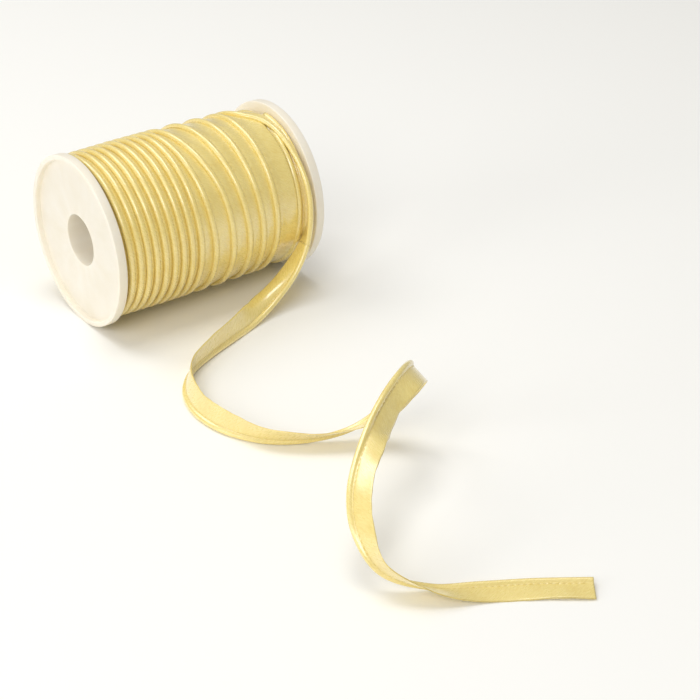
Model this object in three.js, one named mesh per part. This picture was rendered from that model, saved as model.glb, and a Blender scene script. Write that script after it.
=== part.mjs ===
// A roll of satin piping on its plastic reel, with the loose end lying in front of it.
// Millimetres, +Z up, +X along the reel's axis. The reel lies on the rims of its two flanges, on Z = 0.
// Angles round the reel are counted from the front (-Y) upward: 0 is the front, 90 the top.
import * as THREE from 'three';

// The piping: a bias tape folded round a cord and stitched beside it
const STRAND_WIDTH = 12;
const CORD_RADIUS = 1.4;
const TAPE_THICKNESS = 0.9;
const EDGE_FROM_CORD = STRAND_WIDTH - CORD_RADIUS;

// The reel: two moulded halves, each a flange with half of the hub
const FLANGE_RADIUS = 43;
const FLANGE_WEB = 1.8;
const RIM_WIDTH = 4.6;
const RIM_DEPTH = 2.6;
const INSIDE_WIDTH = 107.2;
const HUB_RADIUS = 15;
const BORE_RADIUS = 12.8;
const REEL_FACETS = 40;
const CLEARANCE = 0.3;

// The rims are many-sided, so each rests on one facet, a flat spot about 7 mm long
const AXIS_HEIGHT = FLANGE_RADIUS * Math.cos(Math.PI / REEL_FACETS);

// The wound roll
const ROLL_FACETS = 64;
const ROLL_LEFT = -INSIDE_WIDTH / 2 + CLEARANCE;
const ROLL_RIGHT = INSIDE_WIDTH / 2 - CLEARANCE;
const ROLL_BORE = HUB_RADIUS + CLEARANCE + 0.2;
const END_RADIUS = 39;
const LOPSIDED = 0.7;
const LAST_TURN = 14;
const RIDGE_ENDS = { from: 14.235, to: 14.275 };

// Where each turn's cord has its left foot, counted in turns from the top of the roll.
// The turns are packed close on the left and spread out on the right, and the last one runs to the flange.
const WINDING = [
  { turn: -1, foot: -58.5 },
  { turn: 0, foot: -52.8 },
  { turn: 3, foot: -39.1 },
  { turn: 6, foot: -24.4 },
  { turn: 8.25, foot: -13.3 },
  { turn: 9.26, foot: -5.5 },
  { turn: 11.28, foot: 13.1 },
  { turn: 12.3, foot: 21.9 },
  { turn: 13.3, foot: 31.2 },
  { turn: 13.95, foot: 37.5 },
  { turn: 14.06, foot: 45.4 },
  { turn: 14.14, foot: 48.2 },
  { turn: 14.3, foot: 48.8 },
  { turn: 15, foot: 52 },
  { turn: 17, foot: 80 },
];

// One turn's outline from its foot to the next foot: past the cord, then down the tape.
// cord is a share of the cord's thickness, tape a share of the tape that shows, depth is below the crest.
const TURN_OUTLINE = [
  { cord: 0, tape: 0, depth: 2.0 },
  { cord: 0.1, tape: 0, depth: 1.0 },
  { cord: 0.5, tape: 0, depth: 0 },
  { cord: 1, tape: 0, depth: 1.0 },
  { cord: 1, tape: 0.55, depth: 1.4 },
];
const BARE_TAPE_DEPTH = 1.4;
const SAME_PLACE = 1e-3;

// How full the roll is along its length: the radius over the cords
const FULLNESS = [
  { x: -54, radius: 41.2 },
  { x: -25, radius: 41.7 },
  { x: 10, radius: 41.6 },
  { x: 32, radius: 41.0 },
  { x: 54, radius: 40.8 },
];

// The loose end, from the roll to its cut: the cord's middle and the tape's free edge beside it.
// It drops from the roll, bends round on its cord edge, arches over and lies down flat.
const LOOSE_END = [
  { cord: [45.1, -46.5, 29.6], edge: [47.2, -36.4, 27.2] },
  { cord: [38, -48, 18.4], edge: [37.6, -37.5, 17.6] },
  { cord: [22.6, -51.1, 6.8], edge: [19.5, -41.1, 8.5] },
  { cord: [6.1, -56.1, 1.5], edge: [3.2, -51.9, 10.8] },
  { cord: [-10, -62.4, 1.5], edge: [-10.6, -61.1, 12] },
  { cord: [-26.5, -68.9, 1.5], edge: [-25.8, -70, 12] },
  { cord: [-42, -77.2, 1.5], edge: [-40.8, -79.4, 11.8] },
  { cord: [-53.1, -89.9, 1.5], edge: [-50.2, -91.5, 11.6] },
  { cord: [-58.8, -108, 1.5], edge: [-54.8, -108.2, 11.3] },
  { cord: [-55.8, -130, 1.5], edge: [-54.8, -129.8, 12] },
  { cord: [-43.9, -147.9, 1.5], edge: [-47, -151.2, 11.1] },
  { cord: [-27.9, -158.3, 2.3], edge: [-32.2, -164.3, 9.9] },
  { cord: [-11.8, -166.2, 6.7], edge: [-17.2, -174.2, 11.1] },
  { cord: [0.1, -171.4, 16], edge: [-4, -181.1, 16] },
  { cord: [6.2, -177.7, 32.2], edge: [6, -187, 27] },
  { cord: [2.4, -187.7, 45], edge: [5, -196, 38.8] },
  { cord: [-11.1, -199.1, 51.6], edge: [-6.6, -206.8, 45.8] },
  { cord: [-26.7, -208, 49.8], edge: [-21.9, -212, 41.2] },
  { cord: [-38.4, -214.8, 45.4], edge: [-32.4, -220, 38.4] },
  { cord: [-46.7, -220.6, 41.4], edge: [-40.4, -229.1, 41.2] },
  { cord: [-54.7, -226.8, 37.1], edge: [-49.1, -235.4, 40] },
  { cord: [-63.2, -234.9, 30.9], edge: [-57.6, -242.9, 35] },
  { cord: [-69.1, -245.3, 22.4], edge: [-64.8, -252.6, 28.6] },
  { cord: [-67.4, -260.3, 9.5], edge: [-68.6, -267, 17.6] },
  { cord: [-51.9, -272.9, 2.6], edge: [-56.2, -281.5, 7] },
  { cord: [-33.8, -282.3, 1.5], edge: [-38.6, -291.8, 1.1] },
  { cord: [-15.8, -292.7, 1.5], edge: [-21.4, -301.7, 0.9] },
  { cord: [4.7, -306.9, 1.9], edge: [-1.7, -315.3, 0.7] },
];
const LOOSE_STEPS = 80;

const PLASTIC = { color: 0xf1e9de, roughness: 0.35, metalness: 0 };
const SATIN = { color: 0xe3cb7b, roughness: 0.4, metalness: 0 };

/** Reads a value between the rows of a table, along one of its columns. */
function between(table, column, at, value) {
  let i = 1;
  while (i < table.length - 1 && table[i][column] < at) i += 1;
  const [low, high] = [table[i - 1], table[i]];
  const share = (at - low[column]) / (high[column] - low[column]);
  return low[value] + share * (high[value] - low[value]);
}

function mesh(name, geometry, look) {
  const made = new THREE.Mesh(geometry, new THREE.MeshStandardMaterial(look));
  made.name = name;
  return made;
}

/** Half of the reel, turned round its axis: a thin flange with a raised rim, and a plain half of the hub. */
function reelHalf() {
  const inner = INSIDE_WIDTH / 2;
  const profile = [
    [BORE_RADIUS, CLEARANCE / 2],
    [HUB_RADIUS, CLEARANCE / 2],
    [HUB_RADIUS, inner],
    [FLANGE_RADIUS, inner],
    [FLANGE_RADIUS, inner + RIM_WIDTH],
    [FLANGE_RADIUS - RIM_DEPTH, inner + RIM_WIDTH],
    [FLANGE_RADIUS - RIM_DEPTH, inner + FLANGE_WEB],
    [BORE_RADIUS, inner + FLANGE_WEB],
    [BORE_RADIUS, CLEARANCE / 2],
  ];
  const points = profile.map(([radius, along]) => new THREE.Vector2(radius, along));
  const halfFacet = Math.PI / REEL_FACETS;
  const half = new THREE.LatheGeometry(points, REEL_FACETS, halfFacet);
  half.rotateZ(-Math.PI / 2);
  return half;
}

/** The point on the roll at a distance along the axis, a radius and an angle up from the front. */
function roundTheReel(x, radius, angle) {
  return new THREE.Vector3(x, -radius * Math.cos(angle), AXIS_HEIGHT + radius * Math.sin(angle));
}

/** One corner of the roll's ridged surface: turn counts the turns from the top, row is one of TURN_OUTLINE. */
function ridgePoint(turn, row, angle) {
  const foot = between(WINDING, 'turn', turn, 'foot');
  const pitch = between(WINDING, 'turn', turn + 1, 'foot') - foot;
  const cord = 2 * CORD_RADIUS;
  const x = foot + row.cord * cord + row.tape * Math.max(pitch - cord, 0);
  if (x <= ROLL_LEFT) return roundTheReel(ROLL_LEFT, END_RADIUS, angle);
  if (x >= ROLL_RIGHT) return roundTheReel(ROLL_RIGHT, END_RADIUS, angle);
  const gone = THREE.MathUtils.smoothstep(turn, RIDGE_ENDS.from, RIDGE_ENDS.to);
  const depth = THREE.MathUtils.lerp(row.depth, BARE_TAPE_DEPTH, gone);
  const crest = between(FULLNESS, 'x', x, 'radius') + LOPSIDED * Math.sin(angle);
  return roundTheReel(x, crest - depth, angle);
}

/** The wound piping as one body: a thick tube whose outside has the cord of every turn as a ridge. */
function roll() {
  const lines = [];
  for (let turn = -1; turn <= LAST_TURN + 1; turn += 1) {
    for (const row of TURN_OUTLINE) lines.push({ turn, row });
  }
  const corners = [];
  const triangles = [];
  const addLine = (corner) => {
    for (let i = 0; i <= ROLL_FACETS; i += 1) {
      const share = i / ROLL_FACETS;
      corners.push(corner(share, Math.PI / 2 - share * 2 * Math.PI));
    }
  };
  addLine((share, angle) => roundTheReel(ROLL_LEFT, END_RADIUS, angle));
  for (const { turn, row } of lines) addLine((share, angle) => ridgePoint(turn + share, row, angle));
  addLine((share, angle) => roundTheReel(ROLL_RIGHT, END_RADIUS, angle));
  addLine((share, angle) => roundTheReel(ROLL_RIGHT, ROLL_BORE, angle));
  addLine((share, angle) => roundTheReel(ROLL_LEFT, ROLL_BORE, angle));
  addLine((share, angle) => roundTheReel(ROLL_LEFT, END_RADIUS, angle));

  const across = ROLL_FACETS + 1;
  const lineCount = corners.length / across;
  for (let line = 0; line < lineCount - 1; line += 1) {
    for (let i = 0; i < ROLL_FACETS; i += 1) {
      const a = line * across + i;
      const [b, c, d] = [a + 1, a + across + 1, a + across];
      triangles.push([a, b, c], [a, c, d]);
    }
  }
  // Lines pressed flat against an end give corners at one place, and their empty triangles are left out
  const kept = triangles.filter(([a, b, c]) => {
    const [p, q, r] = [corners[a], corners[b], corners[c]];
    return p.distanceTo(q) > SAME_PLACE && q.distanceTo(r) > SAME_PLACE && r.distanceTo(p) > SAME_PLACE;
  });
  const geometry = new THREE.BufferGeometry();
  geometry.setFromPoints(kept.flat().map((index) => corners[index]));
  geometry.computeVertexNormals();
  return geometry;
}

/** The loose end's line, which also knows which way the tape lies from the cord. */
class StrandLine extends THREE.CatmullRomCurve3 {
  constructor(rows) {
    super(rows.map((row) => new THREE.Vector3(...row.cord)));
    this.edge = new THREE.CatmullRomCurve3(rows.map((row) => new THREE.Vector3(...row.edge)));
  }

  computeFrenetFrames(steps) {
    const frames = { tangents: [], normals: [], binormals: [] };
    for (let i = 0; i <= steps; i += 1) {
      const at = this.getUtoTmapping(i / steps);
      const tangent = this.getTangent(at);
      const across = this.edge.getPoint(at).sub(this.getPoint(at));
      across.addScaledVector(tangent, -across.dot(tangent)).normalize();
      frames.tangents.push(tangent);
      frames.normals.push(across);
      frames.binormals.push(new THREE.Vector3().crossVectors(tangent, across));
    }
    return frames;
  }
}

/** The piping's section: the round of the cord with the flat tape running out from it. */
function strandSection() {
  const half = TAPE_THICKNESS / 2;
  const start = Math.asin(half / CORD_RADIUS);
  const sides = 7;
  const section = new THREE.Shape();
  section.moveTo(EDGE_FROM_CORD, -half);
  section.lineTo(EDGE_FROM_CORD, half);
  for (let i = 0; i <= sides; i += 1) {
    const angle = start + (i / sides) * (2 * Math.PI - 2 * start);
    section.lineTo(CORD_RADIUS * Math.cos(angle), CORD_RADIUS * Math.sin(angle));
  }
  section.closePath();
  return section;
}

function looseEnd() {
  return new THREE.ExtrudeGeometry(strandSection(), {
    steps: LOOSE_STEPS,
    extrudePath: new StrandLine(LOOSE_END),
  });
}

const group = new THREE.Group();

const right = mesh('reel_right', reelHalf(), PLASTIC);
right.position.z = AXIS_HEIGHT;
group.add(right);

const left = mesh('reel_left', reelHalf(), PLASTIC);
left.position.z = AXIS_HEIGHT;
left.rotation.z = Math.PI;
group.add(left);

group.add(mesh('wound_piping', roll(), SATIN));
group.add(mesh('loose_end', looseEnd(), SATIN));

export default group;
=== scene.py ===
# %% [markdown]
# # A roll of satin piping on its plastic reel
# Piping is a narrow tape of satin, cut on the bias, folded round a soft cord and stitched close beside it.
# Here some twenty metres of it are wound on a plastic reel that lies on its rims, and the loose end
# wanders over the table in one long curl. The solids that carry the part come first, as a fixed frame,
# and every surface below is built round them in the same place and at the same size.

# %% Load the solids
import math

import bmesh
import bpy
import mathutils
import numpy as np
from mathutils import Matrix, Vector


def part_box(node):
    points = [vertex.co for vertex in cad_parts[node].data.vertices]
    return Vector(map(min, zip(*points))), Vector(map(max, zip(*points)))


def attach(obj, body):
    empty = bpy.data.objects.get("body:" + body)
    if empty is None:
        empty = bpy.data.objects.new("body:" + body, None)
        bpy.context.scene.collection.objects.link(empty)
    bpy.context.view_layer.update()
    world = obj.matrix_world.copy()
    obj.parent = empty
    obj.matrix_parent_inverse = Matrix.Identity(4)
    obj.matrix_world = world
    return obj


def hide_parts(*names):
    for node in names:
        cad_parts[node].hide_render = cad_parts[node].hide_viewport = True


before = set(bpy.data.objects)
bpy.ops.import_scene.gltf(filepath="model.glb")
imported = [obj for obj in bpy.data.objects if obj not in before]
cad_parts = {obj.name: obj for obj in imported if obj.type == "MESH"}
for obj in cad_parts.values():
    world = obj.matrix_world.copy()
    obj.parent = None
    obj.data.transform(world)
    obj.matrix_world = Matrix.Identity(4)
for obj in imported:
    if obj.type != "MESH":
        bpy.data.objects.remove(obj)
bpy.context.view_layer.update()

MM = 0.001

# %% [markdown]
# ## The camera
# The reel's two flanges are circles, so their outlines in the picture fix where the camera stood: about
# a metre away, half a metre up, and turned by 35 degrees from straight at the reel's side. A long lens
# keeps the near curl and the far reel at almost one scale.

# %% Camera
CAMERA_PLACE = (-0.4336, -0.7553, 0.4718)
CAMERA_DOWN = 30.43
CAMERA_TURN = -35.45
LENS = 100

camera_data = bpy.data.cameras.new("camera")
camera_data.lens = LENS
camera_data.sensor_width = 36
camera_data.clip_start = 0.01
camera = bpy.data.objects.new("camera", camera_data)
camera.location = CAMERA_PLACE
camera.rotation_euler = (math.radians(90 - CAMERA_DOWN), 0, math.radians(CAMERA_TURN))
bpy.context.scene.collection.objects.link(camera)
bpy.context.scene.camera = camera
print("camera at", CAMERA_PLACE, "looking down by", CAMERA_DOWN, "degrees")

# %% [markdown]
# ## The sizes of the piping
# One strand is 12 mm wide in all. Its cord is 2.8 mm thick, and the two layers of the tape run out from
# it to a cut edge. Everything that is made of piping, on the roll or off it, uses this one section.

# %% Sizes of the strand
STRAND_WIDTH = 12 * MM
CORD_RADIUS = 1.4 * MM
EDGE_FROM_CORD = STRAND_WIDTH - CORD_RADIUS
SEAM_FROM_CORD = 1.75 * MM
SEAM_HALF = 0.20 * MM
STITCH_LENGTH = 2.6 * MM
print("strand", STRAND_WIDTH / MM, "mm wide, tape", round(EDGE_FROM_CORD / MM, 2), "mm past the cord")

# %% [markdown]
# ## The loose end's route
# The route is given by two lines: the middle of the cord, and the tape's cut edge beside it.
# Two lines say more than one, because a flat strand also turns as it goes. It leaves the roll by the
# right flange, lies down, stands up on its cord to go round the first bend, arches over, and lies flat
# again. The first four rows are still on the roll, where the tape is tucked in beside the flange.

# %% Route
ON_THE_ROLL = [
    {"cord": (49.3, -23.7, 75.2), "edge": (53.3, -17.9, 67.2), "bulge": 2.1},
    {"cord": (50.2, -33.7, 66.4), "edge": (53.4, -25.3, 60.7), "bulge": 1.5},
    {"cord": (50.0, -41.5, 54), "edge": (53.3, -31.8, 51.2), "bulge": 1.2},
    {"cord": (48.6, -44.6, 41.7), "edge": (52.1, -35, 38.8), "bulge": 0.6},
]
LOOSE_END = [
    {"cord": (45.1, -46.5, 29.6), "edge": (47.2, -36.4, 27.2)},
    {"cord": (38, -48, 18.4), "edge": (37.6, -37.5, 17.6)},
    {"cord": (22.6, -51.1, 6.8), "edge": (19.5, -41.1, 8.5)},
    {"cord": (6.1, -56.1, 1.5), "edge": (3.2, -51.9, 10.8)},
    {"cord": (-10, -62.4, 1.5), "edge": (-10.6, -61.1, 12)},
    {"cord": (-26.5, -68.9, 1.5), "edge": (-25.8, -70, 12)},
    {"cord": (-42, -77.2, 1.5), "edge": (-40.8, -79.4, 11.8)},
    {"cord": (-53.1, -89.9, 1.5), "edge": (-50.2, -91.5, 11.6)},
    {"cord": (-58.8, -108, 1.5), "edge": (-54.8, -108.2, 11.3)},
    {"cord": (-55.8, -130, 1.5), "edge": (-54.8, -129.8, 12)},
    {"cord": (-43.9, -147.9, 1.5), "edge": (-47, -151.2, 11.1)},
    {"cord": (-27.9, -158.3, 2.3), "edge": (-32.2, -164.3, 9.9)},
    {"cord": (-11.8, -166.2, 6.7), "edge": (-17.2, -174.2, 11.1)},
    {"cord": (0.1, -171.4, 16), "edge": (-4, -181.1, 16)},
    {"cord": (6.2, -177.7, 32.2), "edge": (6, -187, 27)},
    {"cord": (2.4, -187.7, 45), "edge": (5, -196, 38.8)},
    {"cord": (-11.1, -199.1, 51.6), "edge": (-6.6, -206.8, 45.8)},
    {"cord": (-26.7, -208, 49.8), "edge": (-21.9, -212, 41.2)},
    {"cord": (-38.4, -214.8, 45.4), "edge": (-32.4, -220, 38.4)},
    {"cord": (-46.7, -220.6, 41.4), "edge": (-40.4, -229.1, 41.2)},
    {"cord": (-54.7, -226.8, 37.1), "edge": (-49.1, -235.4, 40)},
    {"cord": (-63.2, -234.9, 30.9), "edge": (-57.6, -242.9, 35)},
    {"cord": (-69.1, -245.3, 22.4), "edge": (-64.8, -252.6, 28.6)},
    {"cord": (-67.4, -260.3, 9.5), "edge": (-68.6, -267, 17.6)},
    {"cord": (-51.9, -272.9, 2.6), "edge": (-56.2, -281.5, 7)},
    {"cord": (-33.8, -282.3, 1.5), "edge": (-38.6, -291.8, 1.1)},
    {"cord": (-15.8, -292.7, 1.5), "edge": (-21.4, -301.7, 0.9)},
    {"cord": (4.7, -306.9, 1.9), "edge": (-1.7, -315.3, 0.7)},
]
print("route of the loose end:", len(LOOSE_END), "rows")

# %% [markdown]
# ## A smooth line through points
# A cubic between each two points, with its slope at a point taken from the points on both sides, passes
# through every one of them without a kink. The cord and the edge share one set of knots, so that a place
# on one line always has its partner on the other.

# %% Smooth lines and their frames


def smooth(points, knots, at):
    """The points, smoothly joined, read at values of the knots."""
    points, knots = np.asarray(points, float), np.asarray(knots, float)
    steps = np.diff(knots)[:, None]
    slopes = np.diff(points, axis=0) / steps
    between = (slopes[:-1] * steps[1:] + slopes[1:] * steps[:-1]) / (steps[1:] + steps[:-1])
    bends = np.vstack([slopes[:1], between, slopes[-1:]])
    low = np.clip(np.searchsorted(knots, at, side="right") - 1, 0, len(knots) - 2)
    width = steps[low]
    t = (np.asarray(at, float)[:, None] - knots[low][:, None]) / width
    return (
        (2 * t**3 - 3 * t**2 + 1) * points[low]
        + (t**3 - 2 * t**2 + t) * width * bends[low]
        + (3 * t**2 - 2 * t**3) * points[low + 1]
        + (t**3 - t**2) * width * bends[low + 1]
    )


def unit(vectors):
    return vectors / np.linalg.norm(vectors, axis=-1, keepdims=True)


def frames_along(cord, edge):
    """Along the strand, across it to the tape's edge, and out of its face, for each point of the cord."""
    along = unit(np.gradient(cord, axis=0))
    across = edge - cord
    across = unit(across - (across * along).sum(1)[:, None] * along)
    return along, across, np.cross(along, across)


def knots_of(points):
    return np.concatenate([[0], np.cumsum(np.linalg.norm(np.diff(points, axis=0), axis=1))])


print("smooth lines are cubic, through every point")

# %% [markdown]
# ## Where the turns lie
# The turns are close together on the left, where each tape is hidden under the next cord, and they open
# out to the right, until the last one crosses to the flange. A short table says where the left side of
# the cord is after so many turns, counted from the top of the roll, and another says how full the roll is.
# The strand's first end is sunk into the roll, out of sight.

# %% Winding
WINDING = [
    {"turn": -1, "foot": -58}, {"turn": 0, "foot": -52.3}, {"turn": 3, "foot": -38.6},
    {"turn": 6, "foot": -23.9}, {"turn": 8.05, "foot": -13.9}, {"turn": 8.22, "foot": -13.0},
    {"turn": 9.05, "foot": -9.0}, {"turn": 9.17, "foot": -6.4}, {"turn": 9.25, "foot": -5.0},
    {"turn": 10.05, "foot": -1.9}, {"turn": 10.17, "foot": 3.8}, {"turn": 10.25, "foot": 5.2},
    {"turn": 11.05, "foot": 9.0}, {"turn": 11.17, "foot": 12.8}, {"turn": 11.25, "foot": 14.6},
    {"turn": 12.05, "foot": 19.9}, {"turn": 12.17, "foot": 21.6}, {"turn": 12.25, "foot": 22.7},
    {"turn": 13.05, "foot": 30.6}, {"turn": 13.25, "foot": 31.1}, {"turn": 13.9, "foot": 34.2},
    {"turn": 13.99, "foot": 39.0}, {"turn": 14.03, "foot": 44.3}, {"turn": 14.06, "foot": 46.3},
    {"turn": 14.09, "foot": 47.2}, {"turn": 14.15, "foot": 48.9}, {"turn": 14.3, "foot": 49.2},
    {"turn": 15, "foot": 52}, {"turn": 17, "foot": 80},
]
FULLNESS_X = [-54, -25, 10, 32, 54]
FULLNESS_RADIUS = [41.2, 41.7, 41.6, 41.0, 40.8]
LOPSIDED = 0.7 * MM
FIRST_TURN = -0.5
FIRST_END_SUNK = 3 * MM
LAST_ON_ROLL = 14.0

reel_low, reel_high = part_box("reel_right")
AXIS_HEIGHT = (reel_low.z + reel_high.z) / 2
ROLL_LEFT, ROLL_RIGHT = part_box("wound_piping")[0].x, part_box("wound_piping")[1].x


def foot_at(turn):
    feet = [[row["foot"]] for row in WINDING]
    return smooth(feet, [row["turn"] for row in WINDING], np.atleast_1d(turn))[:, 0] * MM


def crest_at(x, angle):
    """The radius over the cords, at a place along the axis and an angle up from the front."""
    return np.interp(x / MM, FULLNESS_X, FULLNESS_RADIUS) * MM + LOPSIDED * np.sin(angle)


def round_the_reel(x, radius, angle):
    return np.stack([x, -radius * np.cos(angle), AXIS_HEIGHT + radius * np.sin(angle)], axis=-1)


def outward_at(angle):
    """The way out from the axis, at an angle up from the front."""
    return np.stack([0 * angle, -np.cos(angle), np.sin(angle)], axis=-1)


def cord_on_roll(turn):
    """The cord's middle, and the way out from the axis, after so many turns."""
    turn = np.asarray(turn, float)
    angle = math.pi / 2 - turn * 2 * math.pi
    x = np.maximum(foot_at(turn), ROLL_LEFT) + CORD_RADIUS
    sunk = FIRST_END_SUNK * np.clip(turn / FIRST_TURN, 0, 1) ** 2
    return round_the_reel(x, crest_at(x, angle) - CORD_RADIUS - sunk, angle), outward_at(angle)


print("turns in the outer layer:", round(LAST_ON_ROLL - FIRST_TURN, 1))

# %% [markdown]
# ## The strand's section
# The section is one closed ring of points: over the top layer of the tape from its cut edge, round the
# cord, and back along the lower layer. It is pinched at the seam, and a small notch at the cut edge shows
# that the tape is two layers. A few numbers let it change along the strand: how long the tape is, how far
# it dips, where the dip ends, how much the tape curls, and how much it bulges where the flange holds it.

# %% Section
CORD_SIDES = 14
CORD_OPENING = math.radians(27)
TAPE_SHARES = np.array([0.0, 0.05, 0.12, 0.25, 0.42, 0.6, 0.78, 0.92, 1.0])
TAPE_FULL = np.array([1.0, 1.25, 1.6, 1.75, 1.65, 1.55, 1.5, 1.45, 1.3])
EDGE_NOTCH = 0.9 * MM
EDGE_LIP = 0.1 * MM
BULGE_EARLY = 0.8


def section(length, dip, dip_end, curl, bulge, pinch, fray):
    """Rings of (across, out) points, one ring for each row of the inputs."""
    count = len(length)
    angles = np.linspace(CORD_OPENING, 2 * math.pi - CORD_OPENING, CORD_SIDES)
    cord = np.stack([CORD_RADIUS * np.cos(angles), CORD_RADIUS * np.sin(angles)], axis=-1)
    cord = np.broadcast_to(cord, (count, CORD_SIDES, 2))
    across = SEAM_FROM_CORD + (length[:, None] - SEAM_FROM_CORD) * TAPE_SHARES
    down = np.clip((across - SEAM_FROM_CORD) / (dip_end[:, None] - SEAM_FROM_CORD), 0, 1)
    middle = -dip[:, None] * down * down * (3 - 2 * down) + curl[:, None] * TAPE_SHARES**2
    middle = middle + bulge[:, None] * np.sin(math.pi * TAPE_SHARES**BULGE_EARLY)
    slope = np.gradient(middle, axis=1) / np.gradient(across, axis=1)
    lean = np.stack([-slope, np.ones_like(slope)], axis=-1) / np.sqrt(1 + slope**2)[..., None]
    half = np.broadcast_to(SEAM_HALF * TAPE_FULL, across.shape).copy()
    half[:, 0] -= pinch
    centre = np.stack([across, middle], axis=-1)
    top = (centre + lean * half[..., None])[:, ::-1]
    bottom = centre - lean * half[..., None]
    last, tilt = centre[:, -1], lean[:, -1]
    flat = np.stack([tilt[:, 1], -tilt[:, 0]], axis=-1)
    bottom[:, -1] += flat * fray[:, None]
    inner = last - flat * EDGE_NOTCH
    low_lip = bottom[:, -1] + tilt * EDGE_LIP
    high_lip = top[:, 0] - tilt * EDGE_LIP
    return np.concatenate([top, cord, bottom, low_lip[:, None], inner[:, None], high_lip[:, None]], axis=1)


flat_ring = section(*[np.array([v]) for v in (EDGE_FROM_CORD, 0.0, 5 * MM, 0.0, 0.0, 0.0, 0.0)])[0]
around = knots_of(np.vstack([flat_ring, flat_ring[:1]]))
print("section of", len(flat_ring), "points,", round(around[-1] / MM, 1), "mm round")

# %% [markdown]
# ## From rings to a mesh
# Rings of the same number of points, one after the other, are joined by four-sided faces and closed at
# both ends. The UV map is kept in metres, along the strand and round it, so that a pattern's scale can be
# given in real millimetres, on the roll and off it alike.

# %% Mesh helpers


def add_mesh(name, points, faces, uvs=None):
    mesh = bpy.data.meshes.new(name)
    mesh.from_pydata([tuple(p) for p in points], [], faces)
    if uvs is not None:
        layer = mesh.uv_layers.new(name="strand")
        layer.data.foreach_set("uv", np.asarray(uvs, np.float32).ravel())
    mesh.polygons.foreach_set("use_smooth", [True] * len(mesh.polygons))
    made = bpy.data.objects.new(name, mesh)
    bpy.context.scene.collection.objects.link(made)
    return made


def face_outward(obj):
    shape = bmesh.new()
    shape.from_mesh(obj.data)
    bmesh.ops.recalc_face_normals(shape, faces=shape.faces)
    shape.to_mesh(obj.data)
    shape.free()
    obj.data.update()
    return obj


def strand(name, cord, along, across, out, rings, start):
    """A strand of piping from its line, its frames and its rings, with its UV map counted from start."""
    count, sides = rings.shape[:2]
    points = cord[:, None] + across[:, None] * rings[..., :1] + out[:, None] * rings[..., 1:]
    run = start + knots_of(cord)
    faces, uvs = [], []
    for i in range(count - 1):
        for j in range(sides):
            k = (j + 1) % sides
            faces.append((i * sides + j, (i + 1) * sides + j, (i + 1) * sides + k, i * sides + k))
            uvs += [(run[i], around[j]), (run[i + 1], around[j])]
            uvs += [(run[i + 1], around[j + 1]), (run[i], around[j + 1])]
    for first in (0, (count - 1) * sides):
        faces.append(tuple(range(first, first + sides)))
        uvs += [(run[0 if first == 0 else -1] + ring[0], ring[1]) for ring in flat_ring]
    made = face_outward(add_mesh(name, points.reshape(-1, 3), faces, uvs))
    print(name, "has", len(faces), "faces and is", round(run[-1] - run[0], 3), "m long")
    return made


# %% [markdown]
# ## The loose end
# The loose end is the piece that shows best, so it gets the closest rings, one every 0.7 mm. The tape is
# never quite flat: it curls a little one way and then the other, and the lower layer of its cut edge
# creeps in and out beside the upper one. Sums of a few slow waves do that and come out the same each time.
# Where the strand twists, bias tape gives: its edge is drawn in a little, or let out. On its way down from
# the roll the tape is hollow behind, so that the half by the cord catches the light from above.

# %% Loose end
LOOSE_STEP = 0.7 * MM
FREE_AFTER = 30 * MM
SEAM_PINCH = 0.07 * MM
CURL, CURL_WAVES = 0.6 * MM, (0.085, 0.05, 0.031)
LOWER_SHORT = 0.12 * MM
FRAY, FRAY_WAVES = 0.2 * MM, (0.037, 0.019, 0.0071)
UNEVEN, UNEVEN_WAVES = 0.12 * MM, (0.06, 0.023, 0.011)
PLAIN_DIP_END = 5 * MM
EDGE_GIVES = [
    {"at": 43, "over": 6.5, "drawn_in": 1.0},
    {"at": 315, "over": 6, "drawn_in": -0.9},
    {"at": 331, "over": 5, "drawn_in": 0.9},
]
HOLLOW_DEPTH = 1.7 * MM
HOLLOW_AT = 28 * MM
HOLLOW_OVER = 18 * MM


def waves(run, size, lengths, shift=0.0):
    """A slow uneven wobble: waves of a few lengths, added."""
    total = sum(np.sin(2 * math.pi * run / length + shift + 1.7 * i) for i, length in enumerate(lengths))
    return size * total / len(lengths)


LIFTING_TURNS = [13.94, 13.96, 13.98, 14.0, 14.02, 14.04, 14.06]
before_middle, before_out = cord_on_roll(LIFTING_TURNS)
TUCK = [
    {"turn": 13.8, "angle": 0, "bulge": 0}, {"turn": 13.9, "angle": 3, "bulge": 0},
    {"turn": 13.96, "angle": 9, "bulge": 0.3}, {"turn": 14.0, "angle": 15, "bulge": 1.2},
    {"turn": 14.02, "angle": 29, "bulge": 2.2}, {"turn": 14.04, "angle": 48, "bulge": 2.7},
    {"turn": 14.06, "angle": 58, "bulge": 2.9},
]


def tuck_at(turns, word):
    return np.interp(turns, [row["turn"] for row in TUCK], [row[word] for row in TUCK])


tuck = np.radians(tuck_at(LIFTING_TURNS, "angle"))
before_across = np.cos(tuck)[:, None] * np.array([1.0, 0, 0]) - np.sin(tuck)[:, None] * before_out
rows = ON_THE_ROLL + LOOSE_END
key_cord = np.vstack([before_middle, np.array([row["cord"] for row in rows]) * MM])
row_edges = np.array([row["edge"] for row in rows]) * MM
key_edge = np.vstack([before_middle + before_across * EDGE_FROM_CORD, row_edges])
key_run = knots_of(key_cord)
key_bulge = [*tuck_at(LIFTING_TURNS, "bulge"), *[row.get("bulge", 0) for row in rows]]
roll_end = key_run[LIFTING_TURNS.index(LAST_ON_ROLL)]
leave_run = key_run[len(LIFTING_TURNS) + len(ON_THE_ROLL)]

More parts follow.
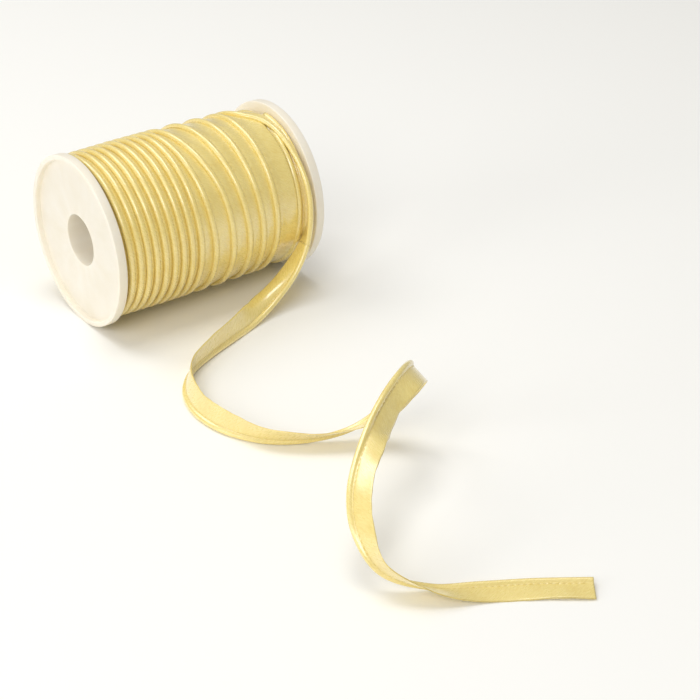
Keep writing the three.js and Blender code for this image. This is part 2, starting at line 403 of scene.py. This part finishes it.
loose_run = np.arange(0, key_run[-1] - leave_run, LOOSE_STEP)
loose_cord = smooth(key_cord, key_run, leave_run + loose_run)
loose_edge = smooth(key_edge, key_run, leave_run + loose_run)
loose_along, loose_across, loose_out = frames_along(loose_cord, loose_edge)
loose_lines = (loose_cord, loose_along, loose_across, loose_out)
loose_length = knots_of(loose_cord)[-1]


def loose_rings(run):
    ones = np.ones_like(run)
    free = np.clip(run / FREE_AFTER, 0, 1)
    pinch = SEAM_PINCH * free * (0.5 + 0.5 * np.cos(2 * math.pi * run / STITCH_LENGTH))
    curl = waves(run, CURL, CURL_WAVES, 0.6) * free
    fray = -LOWER_SHORT + waves(run, FRAY, FRAY_WAVES) * free
    length = EDGE_FROM_CORD + waves(run, UNEVEN, UNEVEN_WAVES, 2.0) * free
    for row in EDGE_GIVES:
        length = length - row["drawn_in"] * MM * np.exp(-(((run / MM - row["at"]) / row["over"]) ** 2))
    hollow = -HOLLOW_DEPTH * np.exp(-(((run - HOLLOW_AT) / HOLLOW_OVER) ** 2)) * free
    return section(length, 0 * ones, PLAIN_DIP_END * ones, curl, hollow, pinch, fray)


loose = strand("loose_piping", *loose_lines, loose_rings(loose_run), leave_run)
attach(loose, "root")
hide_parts("loose_end")

print("loose end:", round(loose_length, 3), "m along its cord")

# %% [markdown]
# ## The wound layer
# The outer layer really is one strand, laid turn by turn: each tape goes down beside its cord and under
# the cord that comes next, which makes the dark creases between the turns. The dip of the tape is worked
# out from how far away that next cord is. Tape cut on the bias stretches, and the last whole turn is eased
# out a little wider, up to the strand that leaves by the flange.

# %% Wound layer
STEPS_IN_TURN = 128
WIDE_OPEN = 11 * MM
UNDER_NEXT = 0.9 * MM
STRETCHED, STRETCH_TURNS, STRETCH_SHARES = 2.4 * MM, [12.9, 13.02, 13.85, 13.95], [0, 1, 1, 0]
LEVEL_TURNS = [13.9, 14.0]
DIP_COVERED, DIP_OPEN = 1.0 * MM, 0.9 * MM
SHORT_OF_NEXT, LEAST_DIP_END, OPEN_DIP_END = 1.4 * MM, 3.2 * MM, 5.5 * MM
ROLL_CURL, ROLL_CURL_WAVES = 0.12 * MM, (0.11, 0.043)
LEAVING_STEP = 1.5 * MM

roll_turns = np.arange(FIRST_TURN, LAST_ON_ROLL, 1 / STEPS_IN_TURN)
wound_cord, wound_out = cord_on_roll(roll_turns)
leaving_run = np.arange(roll_end, leave_run, LEAVING_STEP)
leaving_run = np.append(leaving_run, leave_run)
leaving_cord = smooth(key_cord, key_run, leaving_run)
leaving_edge = smooth(key_edge, key_run, leaving_run)
roll_tuck = np.radians(tuck_at(roll_turns, "angle"))
roll_across = np.cos(roll_tuck)[:, None] * np.array([1.0, 0, 0]) - np.sin(roll_tuck)[:, None] * wound_out
all_cord = np.vstack([wound_cord, leaving_cord])
all_edge = np.vstack([wound_cord + roll_across * EDGE_FROM_CORD, leaving_edge])
all_along, all_across, all_out = frames_along(all_cord, all_edge)
all_lines = (all_cord, all_along, all_across, all_out)


def wound_rings():
    free = len(leaving_run)
    pitch = foot_at(roll_turns + 1) - foot_at(roll_turns)
    covered = pitch < WIDE_OPEN
    reach = EDGE_FROM_CORD + STRETCHED * np.interp(roll_turns, STRETCH_TURNS, STRETCH_SHARES)
    length = np.where(covered, np.minimum(reach, pitch + UNDER_NEXT), reach)
    dip = np.where(covered, DIP_COVERED, DIP_OPEN) * np.interp(roll_turns, LEVEL_TURNS, [1, 0])
    dip_end = np.where(covered, np.maximum(pitch - SHORT_OF_NEXT, LEAST_DIP_END), OPEN_DIP_END)
    run = knots_of(wound_cord)
    curl = waves(run, ROLL_CURL, ROLL_CURL_WAVES)
    bulge = tuck_at(roll_turns, "bulge") * MM
    leaving_bulge = np.interp(leaving_run, key_run, key_bulge) * MM
    fray = np.full(len(run), -LOWER_SHORT)
    on_roll = (length, dip, dip_end, curl, bulge, 0 * run, fray)
    off_roll = (EDGE_FROM_CORD, 0.0, OPEN_DIP_END, 0.0, leaving_bulge, 0.0, -LOWER_SHORT)
    return section(*[np.concatenate([a, np.broadcast_to(b, free)]) for a, b in zip(on_roll, off_roll)])


wound = strand("wound_strand", *all_lines, wound_rings(), 0.0)
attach(wound, "root")
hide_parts("wound_piping")

# %% [markdown]
# ## The layers underneath
# Only the outer layer is drawn turn by turn. The layers under it are one plain ring that shows as a dark
# gold line between the cords, and beside the right flange, where the outer layer leaves a gap, two turns
# of the layer below show. They were wound the other way, as every second layer is.

# %% Layers underneath
UNDER_DEPTH = 3.2 * MM
GAP_FROM, GAP_TO, GAP_RADIUS = 44 * MM, 47 * MM, 36.8 * MM
ROUND_STEPS = 192
ROLL_BORE = 15.5 * MM
LOWER_FEET = [44.2, 49.0, 53.6]
LOWER_RADIUS = 38.3 * MM
LOWER_TAPE, LOWER_DIP, LOWER_DIP_END = 6 * MM, 1.6 * MM, 3.6 * MM
UNDER_SLICES = 60
UNDER_RADIUS = 0.037


def lathe(name, profile, uv_radius):
    """A ring turned round the reel's axis from a closed profile of (along the axis, radius)."""
    angles = np.linspace(0, 2 * math.pi, ROUND_STEPS, endpoint=False)
    x, radius = np.array([p[0] for p in profile]), np.array([p[1] for p in profile])
    points = np.stack([round_the_reel(x, radius, a) for a in angles])
    run = knots_of(np.stack([x, radius], axis=-1))
    faces, uvs = [], []
    count = len(profile)
    for i in range(ROUND_STEPS):
        k = (i + 1) % ROUND_STEPS
        for j in range(count):
            m = (j + 1) % count
            far = run[m] if m else run[-1] + 1e-4
            faces.append((i * count + j, k * count + j, k * count + m, i * count + m))
            turn = [2 * math.pi * uv_radius * r for r in (i / ROUND_STEPS, (i + 1) / ROUND_STEPS)]
            uvs += [(turn[0], run[j]), (turn[1], run[j]), (turn[1], far), (turn[0], far)]
    return face_outward(add_mesh(name, points.reshape(-1, 3), faces, uvs))


under_x = np.linspace(ROLL_LEFT, ROLL_RIGHT, UNDER_SLICES)
under_radius = np.array([crest_at(x, 0) for x in under_x]) - UNDER_DEPTH
sink = np.clip((under_x - GAP_FROM) / (GAP_TO - GAP_FROM), 0, 1)
under_radius = under_radius + sink * (GAP_RADIUS - under_radius)
under_profile = [*zip(under_x, under_radius), (ROLL_RIGHT, ROLL_BORE), (ROLL_LEFT, ROLL_BORE)]
under = lathe("layers_underneath", under_profile, UNDER_RADIUS)
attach(under, "root")
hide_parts("wound_piping")

lower_turns = np.arange(0, 2.001, 1 / STEPS_IN_TURN)
lower_x = np.interp(lower_turns, [0, 1, 2], LOWER_FEET[::-1]) * MM - CORD_RADIUS
lower_x = np.minimum(lower_x, ROLL_RIGHT - CORD_RADIUS)
lower_angle = math.pi / 2 - lower_turns * 2 * math.pi
lower_cord = round_the_reel(lower_x, np.full_like(lower_x, LOWER_RADIUS), lower_angle)
lower_edge = lower_cord - np.array([EDGE_FROM_CORD, 0, 0])
lower_along, lower_across, lower_out = frames_along(lower_cord, lower_edge)
flip = np.sign((lower_out * outward_at(lower_angle)).sum(1))
none = np.zeros_like(lower_turns)
lower_rings = section(LOWER_TAPE + none, LOWER_DIP * flip, LOWER_DIP_END + none, none, none, none, none)
lower = strand("lower_turns", lower_cord, lower_along, lower_across, lower_out, lower_rings, 0.0)
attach(lower, "root")

# %% [markdown]
# ## The stitches
# A row of machine stitches holds the tape round its cord. Each one is a short bent thread whose ends dive
# into the cloth. They are joined in one mesh for each face of the loose end and one for the outer face of
# the roll.

# %% Stitches
THREAD_RADIUS = 0.19 * MM
STITCH_SHARE = 0.84
STITCH_RINGS = 5
STITCH_SIDES = 6
STITCH_OUT = 0.1 * MM
CLOTH_SWELL = 1.1
THREAD_ARCH = 1.5
THREAD_SUNK = 1.1
ROW_MARGIN = 1 * MM
ROLL_MARGIN = 120 * MM
ROLL_SEAM_LOW = -0.12 * MM


def stitches(name, cord, along, across, out, lift, first, last, face):
    """A row of stitches along the seam of a strand, on the face named by 1 or -1."""
    run = knots_of(cord)
    starts = np.arange(run[0] + first, run[-1] - last - STITCH_LENGTH, STITCH_LENGTH)
    share = np.linspace(0, 1, STITCH_RINGS)
    at = (starts[:, None] + STITCH_LENGTH * STITCH_SHARE * share).ravel()

    def read(values):
        return np.stack([np.interp(at, run, values[:, k]) for k in range(3)], axis=-1)

    line, side, up, ahead = read(cord), unit(read(across)), unit(read(out)), unit(read(along))
    dive = np.tile(1 - (2 * share - 1) ** 4, len(starts))
    above = SEAM_HALF * CLOTH_SWELL + THREAD_RADIUS * (THREAD_ARCH * dive - THREAD_SUNK)
    height = np.interp(at, run, lift) + face * above
    centre = line + side * (SEAM_FROM_CORD + STITCH_OUT) + up * height[:, None]
    spin = np.linspace(0, 2 * math.pi, STITCH_SIDES, endpoint=False)
    ring = side[:, None] * np.cos(spin)[:, None] + up[:, None] * np.sin(spin)[:, None]
    points = (centre[:, None] + THREAD_RADIUS * ring).reshape(-1, 3)
    faces = []
    for s in range(len(starts)):
        base = s * STITCH_RINGS * STITCH_SIDES
        for r in range(STITCH_RINGS - 1):
            for j in range(STITCH_SIDES):
                k = (j + 1) % STITCH_SIDES
                low, high = base + r * STITCH_SIDES, base + (r + 1) * STITCH_SIDES
                faces.append((low + j, high + j, high + k, low + k))
        faces.append(tuple(base + j for j in range(STITCH_SIDES)))
        faces.append(tuple(base + (STITCH_RINGS - 1) * STITCH_SIDES + j for j in range(STITCH_SIDES)))
    made = face_outward(add_mesh(name, points, faces))
    print(name, "has", len(starts), "stitches")
    return made


flat_lift = np.zeros(len(loose_cord))
loose_stitches = [
    stitches("stitches_" + word, *loose_lines, flat_lift, ROW_MARGIN, ROW_MARGIN, face)
    for word, face in (("outer", 1), ("inner", -1))
]
wound_lift = np.concatenate([np.full(len(roll_turns), ROLL_SEAM_LOW), np.zeros(len(leaving_run))])
roll_stitches = stitches("stitches_on_roll", *all_lines, wound_lift, ROLL_MARGIN, ROW_MARGIN, 1)
for row in loose_stitches + [roll_stitches]:
    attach(row, "root")

# %% [markdown]
# ## The reel
# The reel is moulded in two halves from milky plastic, each a thin flange with a raised rim and half of
# the hub. The profile is the solid's own, with small rounds on the edges that a mould always leaves.

# %% Reel
FLANGE_WEB = 1.8 * MM
RIM_WIDTH = 4.6 * MM
RIM_DEPTH = 2.6 * MM
INSIDE_WIDTH = 107.2 * MM
HUB_RADIUS = 15 * MM
BORE_RADIUS = 12.8 * MM
HALF_JOINT = 0.15 * MM
ROUND = 0.5 * MM
MOST_CUT = 0.4
CORNER_STEPS = 4


def rounded(corners, radius):
    """A closed outline with its corners rounded off, using up no more than a share of any side."""
    corners, points = np.array(corners), []
    for i, corner in enumerate(corners):
        before, after = corners[i - 1] - corner, corners[(i + 1) % len(corners)] - corner
        cut = min(radius, MOST_CUT * np.linalg.norm(before), MOST_CUT * np.linalg.norm(after))
        start, end = corner + unit(before) * cut, corner + unit(after) * cut
        for t in np.linspace(0, 1, CORNER_STEPS + 1):
            points.append((1 - t) ** 2 * start + 2 * t * (1 - t) * corner + t * t * end)
    return [tuple(p) for p in points]


inner = INSIDE_WIDTH / 2
half_profile = [
    (HALF_JOINT, BORE_RADIUS),
    (HALF_JOINT, HUB_RADIUS),
    (inner, HUB_RADIUS),
    (inner, AXIS_HEIGHT),
    (inner + RIM_WIDTH, AXIS_HEIGHT),
    (inner + RIM_WIDTH, AXIS_HEIGHT - RIM_DEPTH),
    (inner + FLANGE_WEB, AXIS_HEIGHT - RIM_DEPTH),
    (inner + FLANGE_WEB, BORE_RADIUS),
]
reel_pieces = []
for side, word in ((1, "right"), (-1, "left")):
    profile = [(side * x, radius) for x, radius in rounded(half_profile, ROUND)]
    piece = lathe("moulded_half_" + word, profile, AXIS_HEIGHT)
    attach(piece, "root")
    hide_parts("reel_" + word)
    reel_pieces.append(piece)
reel_length, reel_width = 2 * (inner + RIM_WIDTH), 2 * AXIS_HEIGHT
print("reel:", round(reel_length / MM, 1), "mm long,", round(reel_width / MM, 1), "mm across")

# %% [markdown]
# ## Finishes
# Every finish is worked out from simple patterns. Colours are picked as the hex values that a screen shows
# and turned to the linear values that light is added up in.

# %% Finish helpers


def colour(code):
    """A screen colour such as #E3CB7B as linear red, green, blue and full alpha."""
    parts = [int(code[i:i + 2], 16) / 255 for i in (1, 3, 5)]
    return (*[p / 12.92 if p <= 0.04045 else ((p + 0.055) / 1.055) ** 2.4 for p in parts], 1.0)


def add_node(tree, kind, settings, sockets):
    """One node, with its settings and with its sockets set, or linked from another node's output."""
    made = tree.nodes.new("ShaderNode" + kind)
    for key, value in settings.items():
        setattr(made, key, value)
    for key, value in sockets.items():
        if isinstance(value, bpy.types.NodeSocket):
            tree.links.new(value, made.inputs[key])
        else:
            made.inputs[key].default_value = value
    return made


def new_material(name):
    made = bpy.data.materials.new(name)
    made.use_nodes = True
    return made, made.node_tree, made.node_tree.nodes["Principled BSDF"]


def connect(tree, shader, links):
    for key, value in links.items():
        tree.links.new(value, shader.inputs[key])


def settle(shader, values):
    for key, value in values.items():
        shader.inputs[key].default_value = value


# %% [markdown]
# ### Satin
# Satin shines because most of its threads lie on top for a long way before they dive under one crossing
# thread. On a bias tape those floats run at 45 degrees to the strand. Real floats are about 0.1 mm wide;
# they are drawn four times as coarse, so that they don't vanish between the pixels. The gloss differs a
# little from float to float, and so does the colour: partly the cloth's own tone, and partly painted glints,
# lighter floats that stand in for the fine glitter of light. A coat with a high index stands in for the
# mirror-like tops of the floats.

# %% Satin
FLOAT_WIDTH = 0.42 * MM
FLOAT_LENGTH = 4.2

satin, tree, shader = new_material("gold_bias_satin")
strand_map = add_node(tree, "UVMap", {"uv_map": "strand"}, {}).outputs["UV"]
bias = add_node(tree, "Mapping", {}, {
    "Vector": strand_map,
    "Rotation": (0, 0, math.radians(45)),
    "Scale": (1 / FLOAT_WIDTH, 1 / FLOAT_WIDTH, 1),
}).outputs["Vector"]
floats = add_node(tree, "TexBrick", {"offset": 0.4, "offset_frequency": 2, "squash": 1.0}, {
    "Vector": bias, "Scale": 1.0,
    "Color1": (0, 0, 0, 1), "Color2": (1, 1, 1, 1), "Mortar": (0.5, 0.5, 0.5, 1),
    "Mortar Size": 0.12, "Mortar Smooth": 1.0, "Bias": 0.0, "Brick Width": FLOAT_LENGTH, "Row Height": 1.0,
})
# Each float gets its own lightness: partly the cloth's own tone, partly painted glints standing in for
# glitter.
float_tone_and_painted_glint = floats.outputs["Color"]
cloudy = add_node(tree, "TexNoise", {}, {
    "Vector": strand_map, "Scale": 90.0, "Detail": 3.0, "Roughness": 0.6,
}).outputs["Fac"]
FLOAT_TONE_AND_GLINT_SHARE = 0.45
tone = add_node(tree, "Math", {"operation": "MULTIPLY_ADD"}, {
    0: float_tone_and_painted_glint, 1: FLOAT_TONE_AND_GLINT_SHARE, 2: cloudy,
}).outputs["Value"]
# Lighter floats take the ramp's lighter colour, a painted highlight; the cloudy noise is the cloth's own
# tone.
ramp = add_node(tree, "ValToRGB", {}, {"Fac": tone})
ramp.color_ramp.elements[0].position = 0.35
ramp.color_ramp.elements[0].color = colour("#EED26B")
ramp.color_ramp.elements[1].position = 1.0
ramp.color_ramp.elements[1].color = colour("#FDE78B")
gloss = add_node(tree, "MapRange", {}, {
    "Value": tone, "From Min": 0.3, "From Max": 1.1, "To Min": 0.36, "To Max": 0.24,
})
bump = add_node(tree, "Bump", {}, {"Strength": 0.5, "Distance": 0.05 * MM, "Height": floats.outputs["Fac"]})
bump.invert = True
pucker = add_node(tree, "TexNoise", {}, {
    "Vector": strand_map, "Scale": 260.0, "Detail": 2.0, "Roughness": 0.5,
})
soft_bump = add_node(tree, "Bump", {}, {
    "Strength": 0.5, "Distance": 0.08 * MM,
    "Height": pucker.outputs["Fac"], "Normal": bump.outputs["Normal"],
})
tangent = add_node(tree, "Tangent", {"direction_type": "UV_MAP", "uv_map": "strand"}, {})
connect(tree, shader, {
    "Base Color": ramp.outputs["Color"],
    "Roughness": gloss.outputs["Result"],
    "Normal": soft_bump.outputs["Normal"],
    "Tangent": tangent.outputs["Tangent"],
})
settle(shader, {
    "IOR": 1.58, "Specular IOR Level": 1.0, "Anisotropic": 0.4, "Sheen Weight": 0.15, "Sheen Roughness": 0.4,
    "Coat Weight": 1.0, "Coat Roughness": 0.24, "Coat IOR": 1.8,
})
for piece in (loose, wound, under, lower):
    piece.data.materials.append(satin)

# %% [markdown]
# ### Polyester sewing thread
# The thread is dyed to match, a little duller than the satin, and twisted from plies.

# %% Thread
thread, tree, shader = new_material("polyester_sewing_thread")
place = add_node(tree, "TexCoord", {}, {}).outputs["Object"]
plies = add_node(tree, "TexNoise", {}, {"Vector": place, "Scale": 2400.0, "Detail": 2.0})
ramp = add_node(tree, "ValToRGB", {}, {"Fac": plies.outputs["Fac"]})
ramp.color_ramp.elements[0].position = 0.3
ramp.color_ramp.elements[0].color = colour("#E2C66C")
ramp.color_ramp.elements[1].position = 0.7
ramp.color_ramp.elements[1].color = colour("#F6E6A4")
bump = add_node(tree, "Bump", {}, {"Strength": 0.4, "Distance": 0.08 * MM, "Height": plies.outputs["Fac"]})
connect(tree, shader, {"Base Color": ramp.outputs["Color"], "Normal": bump.outputs["Normal"]})
settle(shader, {"Roughness": 0.42, "IOR": 1.58, "Sheen Weight": 0.2})
for piece in loose_stitches + [roll_stitches]:
    piece.data.materials.append(thread)

# %% [markdown]
# ### Milky moulded plastic
# The flange is milky: light goes a little way in and comes out again, which softens its shadows and
# gives its rims a faint warm tint. The mould leaves slow clouds in the tone and the gloss.

# %% Plastic
plastic, tree, shader = new_material("milky_polystyrene")
reel_map = add_node(tree, "UVMap", {"uv_map": "strand"}, {}).outputs["UV"]
flow = add_node(tree, "TexNoise", {}, {"Vector": reel_map, "Scale": 60.0, "Detail": 4.0, "Roughness": 0.55})
ramp = add_node(tree, "ValToRGB", {}, {"Fac": flow.outputs["Fac"]})
ramp.color_ramp.elements[0].position = 0.3
ramp.color_ramp.elements[0].color = colour("#F3E9D5")
ramp.color_ramp.elements[1].position = 0.75
ramp.color_ramp.elements[1].color = colour("#F9F1E2")
gloss = add_node(tree, "MapRange", {}, {"Value": flow.outputs["Fac"], "To Min": 0.3, "To Max": 0.4})
connect(tree, shader, {"Base Color": ramp.outputs["Color"], "Roughness": gloss.outputs["Result"]})
settle(shader, {
    "IOR": 1.49, "Subsurface Weight": 0.3, "Subsurface Scale": 0.006, "Subsurface Radius": (1.0, 0.93, 0.82),
})
for piece in reel_pieces:
    piece.data.materials.append(plastic)

# %% [markdown]
# ## The table and the light
# The picture is high key: a pale warm table under four large soft lights, from above, the left, the front
# and the back, with so much light from all round that only the places under the reel and the strand go
# dark. Their strengths started from pictures lit by one light at a time, compared with the photograph,
# and the back light stands where the bends of the strand mirror it to the camera.

# %% Table and light
TABLE_HALF = 6
corners = [(x * TABLE_HALF, y * TABLE_HALF, 0) for x, y in ((-1, -1), (1, -1), (1, 1), (-1, 1))]
floor = add_mesh("table", corners, [(0, 1, 2, 3)])
paper, tree, shader = new_material("pale_paper")
settle(shader, {"Base Color": colour("#FDFCF8"), "Roughness": 0.9, "Specular IOR Level": 0.2})
floor.data.materials.append(paper)

LIGHT_AWAY = 1.6
LIGHT_SIZE = 0.72
SOFT_LIGHTS = [
    {"name": "soft_top", "way": (0, 0.1, 0.99), "watts": 7.4},
    {"name": "soft_left", "way": (-0.95, 0.1, 0.31), "watts": 4.6},
    {"name": "soft_front", "way": (-0.62, -0.5, 0.6), "watts": 6.8},
    {"name": "soft_back", "way": (-0.28, 0.56, 0.78), "watts": 5.6},
]
AIM = np.array([0, -0.08, 0.02])
ROOM_LIGHT = 0.39
for row in SOFT_LIGHTS:
    data = bpy.data.lights.new(row["name"], "AREA")
    data.shape = "SQUARE"
    data.size = LIGHT_SIZE
    data.energy = row["watts"]
    light = bpy.data.objects.new(row["name"], data)
    way = unit(np.array(row["way"]))
    light.location = tuple(float(v) for v in way * LIGHT_AWAY + AIM)
    light.rotation_euler = mathutils.Vector(tuple(float(v) for v in way)).to_track_quat("Z", "Y").to_euler()
    bpy.context.scene.collection.objects.link(light)

world = bpy.data.worlds.new("studio")
world.use_nodes = True
world.node_tree.nodes["Background"].inputs["Color"].default_value = colour("#FFFEFB")
world.node_tree.nodes["Background"].inputs["Strength"].default_value = ROOM_LIGHT
bpy.context.scene.world = world
bpy.context.scene.view_settings.view_transform = "Standard"
print(len(SOFT_LIGHTS), "soft lights over a pale table")
